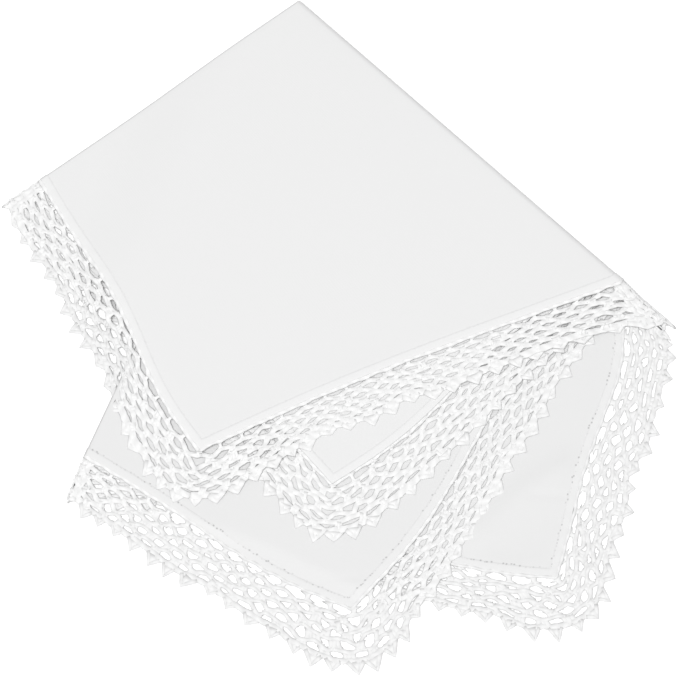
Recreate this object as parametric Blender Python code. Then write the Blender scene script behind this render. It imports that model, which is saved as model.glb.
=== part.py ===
"""Lace handkerchief: a cotton square folded in four, lying flat, with a crochet net edging.

Layers are numbered from the top one (1) to the one on the table (4). Layers 1 and 4 are
one half of the cloth and layers 2 and 3 the other half. Sizes are in millimetres.
"""
import math

import bmesh
import bpy
import numpy as np
from mathutils import Vector

MM = 0.001

# --- thicknesses and gaps ---
SHEET = 1.0            # thickness of the cloth and of the lace
LAYER_STEP = 1.3       # from the middle of one layer to the middle of the next
HALF_STEP = LAYER_STEP / 2
STACK_MID = SHEET / 2 + 1.5 * LAYER_STEP
SEAM_GAP = 0.3         # between the hem edge and the first thread of the lace

# --- fold points, in the plane of the table ---
# name: x, y at the hem, x, y of the lace tip on the fold
CENTRE = (-13.87, 114.44)
FOLDS = {
    "left":   dict(hem=(-95.39, 53.42), tip=(-108.3, 44.0), layers=(1, 2)),
    "lower":  dict(hem=(-78.86, -39.3), tip=(-84.2, -54.1), layers=(4, 3)),
    "outer":  dict(hem=(88.2, 17.76), tip=(99.9, 6.8), layers=(1, 4)),
    "inner":  dict(hem=(81.9, 24.15), tip=(93.5, 11.45), layers=(2, 3)),
}
FOLD_TURN_LENGTH = 16.0   # length over which a fold turns from the cloth's line to the lace's

# --- the eight half sides of the hem: from a fold to the free corner of a layer ---
# bows are the bulges of the half side outwards, as one, two and three half waves;
# widths are those of the lace beside the fold, halfway and beside the corner
CORNERS = {1: (-43.6, -38.0), 2: (-2.3, -48.9), 3: (3.5, -88.0), 4: (66.8, -78.4)}
HALF_SIDES = {
    # layer, fold      bow_1  bow_2  bow_3   w_fold w_mid  w_corner
    (1, "left"):   dict(bow=(-0.3, -1.2, 0.85), width=(15.0, 15.3, 18.2)),
    (1, "outer"):  dict(bow=(-2.1, 0.3, 0.0), width=(17.7, 14.2, 17.8)),
    (2, "left"):   dict(bow=(-0.4, 0.3, 0.0), width=(15.0, 15.6, 18.0)),
    (2, "inner"):  dict(bow=(0.6, -1.9, 0.2), width=(14.5, 15.2, 18.8)),
    (3, "lower"):  dict(bow=(2.3, -1.1, 0.2), width=(16.0, 17.5, 21.4)),
    (3, "inner"):  dict(bow=(0.6, -2.8, 0.2), width=(14.0, 15.2, 20.2)),
    (4, "lower"):  dict(bow=(-1.0, -4.6, 0.0), width=(15.8, 15.6, 19.6)),
    (4, "outer"):  dict(bow=(3.9, 2.4, 0.9), width=(20.2, 17.2, 17.4)),
}
LACE_SWELLS = (   # layer, fold, place along the half side, reach either way, extra width of the lace
    (1, "left", 13.0, 12.0, 1.0), (1, "left", 47.0, 18.0, 1.9), (1, "left", 69.0, 8.0, -1.2),
    (1, "outer", 62.0, 12.0, 1.0), (1, "outer", 76.0, 8.0, -1.3), (1, "outer", 89.0, 9.0, 0.7),
    (1, "outer", 104.0, 8.0, -1.2), (3, "lower", 9.0, 9.0, 1.1), (3, "lower", 40.0, 14.0, 1.1),
    (3, "lower", 57.0, 8.0, -0.9), (3, "lower", 78.0, 7.0, -1.0), (3, "inner", 56.0, 14.0, 1.0),
    (3, "inner", 72.0, 8.0, -0.8), (3, "inner", 124.0, 9.0, -1.6), (4, "lower", 133.0, 9.0, -1.6),
    (4, "lower", 144.0, 6.0, 0.9), (4, "outer", 29.0, 8.0, -0.7), (4, "outer", 47.0, 12.0, 1.4),
    (4, "outer", 60.0, 7.0, -0.9), (4, "outer", 71.0, 11.0, 1.3), (4, "outer", 85.0, 9.0, -1.1),
    (1, "outer", 0.0, 6.0, 4.2), (4, "outer", 0.0, 7.0, 3.2),
)

# --- cloth grid ---
ARC_STEPS = 6             # facets round a fold
COLUMNS = {"left": 14, "lower": 22}   # along the first fold, on either side of the centre
ROWS = 17                 # across it, on either side

# --- how a layer comes down beside the ones under it ---
DROP_MARGIN = 5.0         # it stays level this far beyond the layer next under it
DROP_STAGGER = 3.5        # and further by this for every layer in between
DROP_LENGTH = 15.0        # then it comes down over this length

# --- lace rows, as parts of the lace width measured from the hem ---
ROW_SLIT = (0.045, 0.175)
ROW_NET = (0.42, 0.58, 0.74)
ROW_CHAIN = 0.865
SLIT_PITCH = 7.3
SLIT_BAR = 1.5
NET_PITCH = 9.6
NET_BAR = 1.6
NET_POINT = 2.2           # length of the slanting end of a net gap
PICOT_PITCH = 7.3
PICOT_WIDTH = 4.6
RIB_BLEND = 26.0          # length over which lace ribs turn towards a fold
FOLD_BLEND = 24.0         # length over which the lace takes its width on a fold
CORNER_WIDEN = 34.0       # length over which it takes its width at a corner
CORNER_BLEND = 30.0       # length over which ribs spread, so that the lace turns a corner round
FOLD_CLEAR = 2.2          # solid lace kept on either side of a fold

COLOURS = {"cotton_square": (0.86, 0.86, 0.86, 1.0), "lace_edging": (0.83, 0.83, 0.83, 1.0)}


def ramp(value):
    """Smooth step from 0 to 1."""
    value = min(max(value, 0.0), 1.0)
    return value * value * (3 - 2 * value)


def unit(vector):
    return vector / np.hypot(*vector)


def left_of(vector):
    return np.array([-vector[1], vector[0]])


class Fold:
    """A fold seen from above: straight over the cloth, turning a little into the lace."""

    def __init__(self, name):
        row = FOLDS[name]
        start, hem, tip = (np.array(point) for point in (CENTRE, row["hem"], row["tip"]))
        self.length = float(np.hypot(*(hem - start)))
        self.heading = math.atan2(*(hem - start)[::-1])
        self.turn = math.atan2(*(tip - hem)[::-1]) - self.heading
        self.start = start
        self.hem = self.point(self.length)
        outward = left_of(self.direction(0.0))
        inside = np.array(CORNERS[row["layers"][0]]) - start
        self.side = -1.0 if outward @ inside > 0 else 1.0

    def direction(self, distance):
        part = (distance - self.length) / FOLD_TURN_LENGTH + 0.5
        angle = self.heading + self.turn * ramp(part)
        return np.array([math.cos(angle), math.sin(angle)])

    def point(self, distance):
        straight = self.length - FOLD_TURN_LENGTH / 2
        place = self.start + min(distance, straight) * self.direction(0.0)
        if distance > straight:
            pieces = 8
            step = (distance - straight) / pieces
            for index in range(pieces):
                place = place + step * self.direction(straight + (index + 0.5) * step)
        return place

    def outward(self, distance):
        """Unit vector away from the layers, square to the fold."""
        return self.side * left_of(self.direction(distance))


FOLD = {name: Fold(name) for name in FOLDS}


class HalfSide:
    """Half of one side of the square: the hem from a fold to the corner of a layer."""

    def __init__(self, layer, fold_name):
        row = HALF_SIDES[(layer, fold_name)]
        self.fold = FOLD[fold_name]
        self.start, self.end = self.fold.hem, np.array(CORNERS[layer])
        chord = self.end - self.start
        self.length = float(np.hypot(*chord))
        self.along = unit(chord)
        away = left_of(self.along)
        self.out = away if away @ (np.array(CENTRE) - self.start) < 0 else -away
        self.bow, self.width = row["bow"], row["width"]
        self.swells = [row[2:] for row in LACE_SWELLS if row[:2] == (layer, fold_name)]

    def point(self, distance):
        part = distance / self.length
        bulge = sum(size * math.sin((wave + 1) * math.pi * part)
                    for wave, size in enumerate(self.bow))
        return self.start + distance * self.along + bulge * self.out

    def normal(self, distance):
        part = distance / self.length
        slope = sum(size * (wave + 1) * math.pi / self.length * math.cos((wave + 1) * math.pi * part)
                    for wave, size in enumerate(self.bow))
        return unit(self.out - slope * self.along)

    def lace_width(self, distance):
        at_fold, middle, corner = self.width
        swell = sum(extra * ramp(1 - abs(distance - place) / reach)
                    for place, reach, extra in self.swells)
        return (middle + swell + (at_fold - middle) * (1 - ramp(distance / FOLD_BLEND))
                + (corner - middle) * ramp(1 - (self.length - distance) / CORNER_WIDEN))

    def rib(self, distance):
        """Vector from the hem to the outer edge of the lace. Near a corner the ribs spread, and
        the last ones end on an arc about the corner, up to its middle line."""
        width = self.lace_width(distance)
        start = self.length - CORNER_BLEND
        if distance <= start:
            return self.normal(distance) * width
        arc = self.corner_width * self.corner_turn
        part = (distance - start) / CORNER_BLEND
        edge = part * CORNER_BLEND + arc * part ** 1.5
        if edge <= CORNER_BLEND:
            across = start + edge
            return self.point(across) + self.normal(across) * self.lace_width(across) - self.point(distance)
        turn = (edge - CORNER_BLEND) / self.corner_width
        own = self.lace_width(self.length)
        reach = own + (self.corner_width - own) * ramp(turn / self.corner_turn)
        normal = self.normal(self.length)
        way = normal * math.cos(turn) + self.corner_way * left_of(normal) * math.sin(turn)
        return self.point(self.length) + way * reach - self.point(distance)

    def lace_point(self, distance, out):
        """Point of the lace beside the hem, a given distance out from it."""
        rib, width = self.rib(distance), self.lace_width(distance)
        stretch = np.hypot(*rib) / width
        square = unit(rib) @ self.normal(distance)
        reach = out * stretch + min(out, SEAM_GAP) * (1 / square - stretch)
        fold_part = 1 - ramp(distance / RIB_BLEND)
        on_fold = self.fold.point(self.fold.length + out) - self.fold.hem
        at_start = self.normal(0.0) * out
        return self.point(distance) + unit(rib) * reach + fold_part * (on_fold - at_start)


HALF = {key: HalfSide(*key) for key in HALF_SIDES}


def set_corner_turns():
    """Each corner's middle line halves the turn between the two half sides that meet there."""
    for layer in CORNERS:
        first, second = [half for (own, _), half in HALF.items() if own == layer]
        for half, other in ((first, second), (second, first)):
            mine, theirs = half.normal(half.length), other.normal(other.length)
            turn = math.atan2(mine[0] * theirs[1] - mine[1] * theirs[0], mine @ theirs)
            half.corner_turn, half.corner_way = abs(turn) / 2, math.copysign(1.0, turn)
            half.corner_width = (half.width[2] + other.width[2]) / 2


set_corner_turns()

ALONG = {1: "left", 2: "left", 3: "lower", 4: "lower"}     # half of the first fold on a layer
ACROSS = {1: "outer", 2: "inner", 3: "inner", 4: "outer"}   # half of the second fold


def cloth_point(layer, part_along, part_across):
    """Patch between the two folds and the two half sides of a layer; parts run 0 to 1."""
    first, second = FOLD[ALONG[layer]], FOLD[ACROSS[layer]]
    side_along = HALF[(layer, ACROSS[layer])]    # hem facing the first fold
    side_across = HALF[(layer, ALONG[layer])]    # hem facing the second fold
    s, t = part_along, part_across
    edges = ((1 - s) * second.point(second.length * t) + s * side_across.point(side_across.length * t)
             + (1 - t) * first.point(first.length * s) + t * side_along.point(side_along.length * s))
    corners = ((1 - s) * (1 - t) * np.array(CENTRE) + s * (1 - t) * first.hem
               + (1 - s) * t * second.hem + s * t * np.array(CORNERS[layer]))
    return edges - corners


def layer_outline(layer):
    """Outline of a layer with its lace, as a polygon."""
    points = [np.array(CENTRE)]
    for name, backwards in ((ALONG[layer], False), (ACROSS[layer], True)):
        half = HALF[(layer, name)]
        stations = [half.length * step / 16 for step in range(17)]
        edge = [half.lace_point(place, half.lace_width(place)) for place in stations]
        points += edge[::-1] if backwards else edge
    return np.array(points)


OUTLINE = {layer: layer_outline(layer) for layer in (2, 3, 4)}


def distance_outside(layer, place):
    """Distance from a layer's outline, 0 inside it."""
    start = OUTLINE[layer]
    end = np.roll(start, -1, axis=0)
    edge = end - start
    part = np.clip(((place - start) * edge).sum(1) / (edge * edge).sum(1), 0, 1)
    nearest = np.hypot(*(place - start - part[:, None] * edge).T).min()
    above = (start[:, 1] > place[1]) != (end[:, 1] > place[1])
    with np.errstate(divide="ignore", invalid="ignore"):
        cross = start[:, 0] + (place[1] - start[:, 1]) * edge[:, 0] / edge[:, 1]
    inside = np.count_nonzero(above & (place[0] < cross)) % 2 == 1
    return 0.0 if inside else nearest


def drop(layer, place):
    """How far a layer lies below its level in the full stack of four."""
    total = 0.0
    for under in range(layer + 1, 5):
        margin = DROP_MARGIN + DROP_STAGGER * (under - layer - 1)
        total += ramp((distance_outside(under, place) - margin) / DROP_LENGTH)
    return LAYER_STEP * total


def first_bend(angle, offset):
    """Round the first fold: how far out from it, and the level either side of the pair's middle."""
    radius = HALF_STEP + offset
    return radius * math.cos(angle), radius * math.sin(angle)


def second_bend(angle, level):
    """Round the second fold: how far out from it, and the height."""
    radius = LAYER_STEP + level
    return radius * math.cos(angle), STACK_MID + radius * math.sin(angle)


def settle(place, height, layer, share):
    return (place[0] * MM, place[1] * MM, (height - share * drop(layer, place)) * MM)


def spot(along, across, offset, distances):
    """Point of the sheet. A coordinate is ('flat', sign) or ('arc', angle) on either fold;
    distances gives the place on the layer from the two folds, as a function of the layer."""
    kind_along, value_along = along
    kind_across, value_across = across
    angle_one = value_across if kind_across == "arc" else value_across * math.pi / 2
    out_one, level = first_bend(angle_one, offset)
    angle_two = value_along if kind_along == "arc" else value_along * math.pi / 2
    out_two, height = second_bend(angle_two, level)
    top, sheet_outer = angle_two >= 0, angle_one >= 0
    layer = {(True, True): 1, (True, False): 2, (False, False): 3, (False, True): 4}[(top, sheet_outer)]
    place, along_distance, across_distance = distances(layer)
    if kind_across == "arc":
        mix = (1 + math.sin(angle_two)) / 2
        ways = (FOLD["left"].outward(along_distance) * mix
                + FOLD["lower"].outward(along_distance) * (1 - mix))
        place = place + out_one * unit(ways)
    if kind_along == "arc":
        place = place + out_two * FOLD[ACROSS[layer]].outward(across_distance)
    return settle(place, height, layer, (1 + math.sin(angle_two)) / 2 if layer != 3 else 1.0)


def arc_angles():
    return [math.pi * (step / ARC_STEPS - 0.5) for step in range(ARC_STEPS + 1)]


def cloth_columns():
    """Stations along the first fold, from the left half to the lower half."""
    left, lower = COLUMNS["left"], COLUMNS["lower"]
    flat_left = [(("flat", 1), 1 - step / left) for step in range(left)]
    flat_lower = [(("flat", -1), (step + 1) / lower) for step in range(lower)]
    arcs = [(("arc", -angle), 0.0) for angle in arc_angles()]
    return flat_left + arcs + flat_lower


def cloth_rows():
    """Stations across the first fold, from the outer half of the cloth to the inner half."""
    flat_outer = [(("flat", 1), 1 - step / ROWS) for step in range(ROWS)]
    flat_inner = [(("flat", -1), (step + 1) / ROWS) for step in range(ROWS)]
    arcs = [(("arc", -angle), 0.0) for angle in arc_angles()]
    return flat_outer + arcs + flat_inner


def cloth_vertex(column, row, offset):
    (along, part_along), (across, part_across) = column, row

    def distances(layer):
        place = cloth_point(layer, part_along, part_across)
        return (place, part_along * FOLD[ALONG[layer]].length,
                part_across * FOLD[ACROSS[layer]].length)

    return spot(along, across, offset, distances)


def build_cloth():
    columns, rows = cloth_columns(), cloth_rows()
    wide, high = len(columns), len(rows)
    vertices = [cloth_vertex(column, row, offset) for offset in (SHEET / 2, -SHEET / 2)
                for column in columns for row in rows]

    def index(side, column, row):
        return side * wide * high + column * high + row

    faces = []
    for column in range(wide - 1):
        for row in range(high - 1):
            square = [(column, row), (column + 1, row), (column + 1, row + 1), (column, row + 1)]
            faces.append([index(0, *corner) for corner in square])
            faces.append([index(1, *corner) for corner in reversed(square)])
    rim = ([(column, 0) for column in range(wide)] + [(wide - 1, row) for row in range(1, high)]
           + [(column, high - 1) for column in range(wide - 2, -1, -1)]
           + [(0, row) for row in range(high - 2, 0, -1)])
    for here, there in zip(rim, rim[1:] + rim[:1]):
        faces.append([index(0, *there), index(0, *here), index(1, *here), index(1, *there)])
    return vertices, faces


# --- lace: stations run right round the hem, through the four folds and four corners ---
# each step goes from a corner over a fold to the next corner
RING = (
    dict(fold="left", begin=1, end=2),
    dict(fold="inner", begin=2, end=3),
    dict(fold="lower", begin=3, end=4),
    dict(fold="outer", begin=4, end=1),
)
ARC_SIGN = {"left": 1, "inner": 1, "lower": -1, "outer": -1}   # sense of the bend from begin to end


# a station is a step of the ring, 'begin' or 'end' for a half side with the distance from the
# fold, or 'arc' with the angle round the fold


def fold_sides(step, kind, value):
    """Where a station lies on the two folds, as spot() takes them."""
    row = RING[step]
    name = row["fold"]
    if kind == "arc":
        moving = ("arc", ARC_SIGN[name] * value)
    elif name in ("left", "lower"):
        moving = ("flat", 1 if row[kind] in (1, 4) else -1)
    else:
        moving = ("flat", 1 if row[kind] in (1, 2) else -1)
    if name in ("left", "lower"):
        return ("flat", 1 if name == "left" else -1), moving
    return moving, ("flat", 1 if name == "outer" else -1)


def fold_width(step, angle):
    """Width of the lace round a fold, between those of the layers on its two sides."""
    row = RING[step]
    begin, end = (HALF[(row[side], row["fold"])].lace_width(0.0) for side in ("begin", "end"))
    return end + (begin - end) * (1 + math.sin(angle)) / 2


def lace_vertex(station, share, offset):
    """Vertex of the lace at a share of its width from the hem (0 is the seam)."""
    step, kind, value = station
    name = RING[step]["fold"]
    fold = FOLD[name]
    distance = 0.0 if kind == "arc" else value

    def distances(layer):
        half = HALF[(layer, name)]
        width = fold_width(step, value) if kind == "arc" else half.lace_width(distance)
        out = SEAM_GAP + share * (width - SEAM_GAP)
        on_fold = fold.length + out
        place = fold.point(on_fold) if kind == "arc" else half.lace_point(distance, out)
        return place, on_fold, on_fold

    along, across = fold_sides(step, kind, value)
    return spot(along, across, offset, distances)


def ring_position(station):
    """Running length of a station round the ring, for joining two rows of stations."""
    step, kind, value = station
    before = sum(HALF[(row["begin"], row["fold"])].length + HALF[(row["end"], row["fold"])].length
                 + math.pi for row in RING[:step])
    begin = HALF[(RING[step]["begin"], RING[step]["fold"])].length
    if kind == "begin":
        return before + begin - value
    if kind == "arc":
        return before + begin + math.pi / 2 - value
    return before + begin + math.pi + value


def half_gaps(half, share, pitch, gap, corner_bar):
    """Gaps along a half side, as (near, far) distances from the fold. They are even on a line at
    a share of the lace's width, which is longer than the hem where the ribs spread."""
    bar = pitch - gap
    distances = np.linspace(0.0, half.length, 400)
    part = np.clip(1 - (half.length - distances) / CORNER_BLEND, 0, 1)
    reach = distances + share * half.corner_width * half.corner_turn * part ** 1.5
    usable = reach[-1] - FOLD_CLEAR - corner_bar
    count = max(1, round((usable + bar) / pitch))
    even = (usable + bar) / count
    starts = FOLD_CLEAR + even * np.arange(count)
    return [(float(np.interp(start, reach, distances)),
             float(np.interp(start + even - bar, reach, distances))) for start in starts]


def lace_line(share, pitch, gap, corner_bar):
    """Stations of one line round the ring, as (station, opens): opens tells that a gap starts.
    With no bar at the corner, the gaps on either side of it share the corner station."""
    line = []
    shared = corner_bar == 0
    for step, row in enumerate(RING):
        first, second = (HALF[(row[side], row["fold"])] for side in ("begin", "end"))
        begin, end = first.length, second.length
        for near, far in reversed(half_gaps(first, share, pitch, gap, corner_bar)):
            if not (shared and far > begin - SEAM_GAP):
                line.append(((step, "begin", far), True))
            line.append(((step, "begin", near), False))
        line += [((step, "arc", angle), False) for angle in reversed(arc_angles())]
        for near, far in half_gaps(second, share, pitch, gap, corner_bar):
            line.append(((step, "end", near), True))
            if not (shared and far > end - SEAM_GAP):
                line.append(((step, "end", far), False))
        line.append(((step, "end", end), shared))
    return line


class LaceMesh:
    """Lace as lines of vertex pairs (upper face, lower face) and the strips between them."""

    def __init__(self):
        self.vertices, self.faces = [], []

    def add_line(self, stations, share):
        first = len(self.vertices)
        for station in stations:
            self.vertices.append(lace_vertex(station, share, SHEET / 2))
            self.vertices.append(lace_vertex(station, share, -SHEET / 2))
        return [first + 2 * index for index in range(len(stations))]

    def plate(self, corners):
        self.faces.append(list(corners))
        self.faces.append([corner + 1 for corner in reversed(corners)])

    def wall(self, here, there):
        self.faces.append([there, here, here + 1, there + 1])

    def zip_lines(self, inner, inner_place, outer, outer_place):
        """Fill the band between two closed lines with triangles."""
        round_length = ring_total()
        i = j = 0
        while i < len(inner) or j < len(outer):
            next_inner = inner_place[i + 1] if i + 1 < len(inner) else inner_place[0] + round_length
            next_outer = outer_place[j + 1] if j + 1 < len(outer) else outer_place[0] + round_length
            here_in, here_out = inner[i % len(inner)], outer[j % len(outer)]
            take_inner = i < len(inner) and (j >= len(outer) or next_inner <= next_outer)
            if take_inner:
                self.plate([here_in, here_out, inner[(i + 1) % len(inner)]])
                i += 1
            else:
                self.plate([here_in, here_out, outer[(j + 1) % len(outer)]])
                j += 1


def ring_total():
    return ring_position((3, "end", HALF[(1, "outer")].length))


def stations_of(line):
    return [station for station, _ in line]


def places(stations):
    return [ring_position(station) for station in stations]


def add_slit_band(mesh, line, low, high):
    """Band of four-sided gaps with a bar between each two."""
    for index, (_, opens) in enumerate(line):
        after = (index + 1) % len(line)
        if opens:
            mesh.wall(low[after], low[index])
            mesh.wall(high[index], high[after])
            mesh.wall(low[index], high[index])
            mesh.wall(high[after], low[after])
        else:
            mesh.plate([low[index], high[index], high[after], low[after]])


def pinched_line(line):
    """Line along the long sides of six-sided gaps, shorter than the gap at both ends."""
    result = []
    for index, ((step, kind, value), opens) in enumerate(line):
        closes = line[index - 1][1]
        if kind != "arc" and (opens or closes):
            towards_corner = opens == (kind == "end")
            value += NET_POINT if towards_corner else -NET_POINT
        result.append((step, kind, value))
    return result


def add_net_band(mesh, line, low, middle, high):
    """Band of six-sided gaps; middle holds their pointed ends."""
    for index, (_, opens) in enumerate(line):
        after = (index + 1) % len(line)
        if opens:
            edge = [middle[index], low[index], low[after], middle[after], high[after], high[index]]
            for here, there in zip(edge, edge[1:] + edge[:1]):
                mesh.wall(there, here)
        else:
            mesh.plate([low[index], middle[index], middle[after], low[after]])
            mesh.plate([middle[index], high[index], high[after], middle[after]])


def between(first, second):
    """Station halfway between two on the same half side, or from a corner to the next one."""
    step, kind, value = second
    if first[0] != step:
        return step, kind, (HALF[(RING[step]["begin"], RING[step]["fold"])].length + value) / 2
    return step, kind, (first[2] + value) / 2


def add_picots(mesh, line, base):
    """Outer edge of the chain, with a pointed picot on each marked span."""
    for index, (station, opens) in enumerate(line):
        after = (index + 1) % len(line)
        if not opens:
            mesh.wall(base[index], base[after])
            continue
        tip = mesh.add_line([between(station, line[after][0])], 1.0)[0]
        mesh.plate([base[index], tip, base[after]])
        mesh.wall(base[index], tip)
        mesh.wall(tip, base[after])


def build_lace():
    mesh = LaceMesh()
    slit_line = lace_line(0.0, SLIT_PITCH, SLIT_PITCH - SLIT_BAR, SLIT_BAR / 2)
    net_line = lace_line(ROW_NET[1], NET_PITCH, NET_PITCH - NET_BAR, NET_BAR / 2)
    picot_line = lace_line(1.0, PICOT_PITCH, PICOT_WIDTH, 0)
    slits, net_middles, picots = (stations_of(line) for line in (slit_line, net_line, picot_line))
    net_sides = pinched_line(net_line)

    seam = mesh.add_line(slits, 0.0)
    slit_low, slit_high = (mesh.add_line(slits, share) for share in ROW_SLIT)
    net_low = mesh.add_line(net_sides, ROW_NET[0])
    net_middle = mesh.add_line(net_middles, ROW_NET[1])
    net_high = mesh.add_line(net_sides, ROW_NET[2])
    chain = mesh.add_line(picots, ROW_CHAIN)

    for here, there in zip(seam, seam[1:] + seam[:1]):
        mesh.wall(there, here)
    mesh.zip_lines(seam, places(slits), slit_low, places(slits))
    add_slit_band(mesh, slit_line, slit_low, slit_high)
    mesh.zip_lines(slit_high, places(slits), net_low, places(net_sides))
    add_net_band(mesh, net_line, net_low, net_middle, net_high)
    mesh.zip_lines(net_high, places(net_sides), chain, places(picots))
    add_picots(mesh, picot_line, chain)
    return mesh.vertices, mesh.faces


def make_material(name):
    material = bpy.data.materials.new(name + "_white")
    material.use_nodes = True
    shader = material.node_tree.nodes["Principled BSDF"]
    shader.inputs["Base Color"].default_value = COLOURS[name]
    shader.inputs["Roughness"].default_value = 0.9
    material.diffuse_color = COLOURS[name]
    return material


def make_object(name, vertices, faces):
    body = bmesh.new()
    points = [body.verts.new(Vector(vertex)) for vertex in vertices]
    for face in faces:
        body.faces.new([points[index] for index in face])
    bmesh.ops.triangulate(body, faces=body.faces[:])
    bmesh.ops.recalc_face_normals(body, faces=body.faces[:])
    data = bpy.data.meshes.new(name)
    body.to_mesh(data)
    body.free()
    data.materials.append(make_material(name))
    item = bpy.data.objects.new(name, data)
    bpy.context.scene.collection.objects.link(item)
    return item


def build():
    for item in list(bpy.data.objects):
        bpy.data.objects.remove(item, do_unlink=True)
    make_object("cotton_square", *build_cloth())
    make_object("lace_edging", *build_lace())


build()
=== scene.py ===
"""Lace handkerchief, folded in four: its fine cotton square, hem, crochet net edging and picots.

Layers are numbered from the top one (1) to the one on the table (4). Layers 1 and 4 are one
half of the cloth and layers 2 and 3 the other. Sizes are in millimetres until the last step.
"""

import math

import bpy
import numpy as np
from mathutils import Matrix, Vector


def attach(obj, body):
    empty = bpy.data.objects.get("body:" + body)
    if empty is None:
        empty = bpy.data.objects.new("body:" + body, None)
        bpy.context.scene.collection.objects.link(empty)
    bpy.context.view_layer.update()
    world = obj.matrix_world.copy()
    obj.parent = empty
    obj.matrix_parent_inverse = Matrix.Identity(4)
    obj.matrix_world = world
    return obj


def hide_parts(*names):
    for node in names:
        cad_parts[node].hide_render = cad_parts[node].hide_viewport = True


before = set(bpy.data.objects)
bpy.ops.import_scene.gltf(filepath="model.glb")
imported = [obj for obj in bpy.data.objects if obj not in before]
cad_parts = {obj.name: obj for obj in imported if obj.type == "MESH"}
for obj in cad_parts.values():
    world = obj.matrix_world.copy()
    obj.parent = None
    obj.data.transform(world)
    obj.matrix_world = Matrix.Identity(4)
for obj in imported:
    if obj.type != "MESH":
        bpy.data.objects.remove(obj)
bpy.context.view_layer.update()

MM = 0.001
rng = np.random.default_rng(12)

# --- the stack of folded layers ---
LAYER_STEP = 1.3
HALF_STEP = LAYER_STEP / 2
STACK_MID = 2.45
SEAM_GAP = 0.3
LEVEL = {layer: 0.5 + LAYER_STEP * (4 - layer) for layer in range(1, 6)}   # 5 stands for the table

CENTRE = np.array((-13.87, 114.44))
FOLDS = {   # name: end at the hem, tip of the lace on the fold, one layer beside it
    "left":  ((-95.39, 53.42), (-108.3, 44.0), 1),
    "lower": ((-78.86, -39.3), (-84.2, -54.1), 4),
    "outer": ((88.2, 17.76), (99.9, 6.8), 1),
    "inner": ((81.9, 24.15), (93.5, 11.45), 2),
}
FOLD_TURN_LENGTH = 16.0
CORNERS = {1: (-43.6, -38.0), 2: (-2.3, -48.9), 3: (3.5, -88.0), 4: (66.8, -78.4)}
HALF_SIDES = {   # layer, fold: bulges of the hem as half waves, lace width at fold, middle, corner
    (1, "left"):  ((-0.3, -1.2, 0.85), (15.0, 15.3, 18.2)),
    (1, "outer"): ((-2.1, 0.3, 0.0), (17.7, 14.2, 17.8)),
    (2, "left"):  ((-0.4, 0.3, 0.0), (15.0, 15.6, 18.0)),
    (2, "inner"): ((0.6, -1.9, 0.2), (14.5, 15.2, 18.8)),
    (3, "lower"): ((2.3, -1.1, 0.2), (16.0, 17.5, 21.4)),
    (3, "inner"): ((0.6, -2.8, 0.2), (14.0, 15.2, 20.2)),
    (4, "lower"): ((-1.0, -4.6, 0.0), (15.8, 15.6, 19.6)),
    (4, "outer"): ((3.9, 2.4, 0.9), (20.2, 17.2, 17.4)),
}
LACE_SWELLS = (   # layer, fold, place along the half side, reach either way, extra width of the lace
    (1, "left", 13.0, 12.0, 1.0), (1, "left", 47.0, 18.0, 1.9), (1, "left", 69.0, 8.0, -1.2),
    (1, "outer", 62.0, 12.0, 1.0), (1, "outer", 76.0, 8.0, -1.3), (1, "outer", 89.0, 9.0, 0.7),
    (1, "outer", 104.0, 8.0, -1.2), (3, "lower", 9.0, 9.0, 1.1), (3, "lower", 40.0, 14.0, 1.1),
    (3, "lower", 57.0, 8.0, -0.9), (3, "lower", 78.0, 7.0, -1.0), (3, "inner", 56.0, 14.0, 1.0),
    (3, "inner", 72.0, 8.0, -0.8), (3, "inner", 124.0, 9.0, -1.6), (4, "lower", 133.0, 9.0, -1.6),
    (4, "lower", 144.0, 6.0, 0.9), (4, "outer", 29.0, 8.0, -0.7), (4, "outer", 47.0, 12.0, 1.4),
    (4, "outer", 60.0, 7.0, -0.9), (4, "outer", 71.0, 11.0, 1.3), (4, "outer", 85.0, 9.0, -1.1),
    (1, "outer", 0.0, 6.0, 4.2), (4, "outer", 0.0, 7.0, 3.2),
)
ALONG = {1: "left", 2: "left", 3: "lower", 4: "lower"}
ACROSS = {1: "outer", 2: "inner", 3: "inner", 4: "outer"}
# a layer stays level this far beyond the one next under it, further by this for every layer in
# between, and then comes down over this length; layer 3 hugs the lace under it more closely
DROPS = {1: (5.0, 3.5, 26.0), 2: (5.0, 3.5, 26.0), 3: (0.8, 0.0, 5.0), 4: (0.0, 0.0, 1.0)}
RIB_BLEND, FOLD_BLEND, CORNER_WIDEN, CORNER_BLEND = 26.0, 24.0, 34.0, 30.0


def ramp(value):
    """Smooth step from 0 to 1."""
    value = np.clip(value, 0.0, 1.0)
    return value * value * (3 - 2 * value)


def unit(vectors):
    return vectors / np.linalg.norm(vectors, axis=-1, keepdims=True)


def left_of(vectors):
    return np.stack([-vectors[..., 1], vectors[..., 0]], -1)


def column(values):
    return np.asarray(values, float)[..., None]


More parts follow.
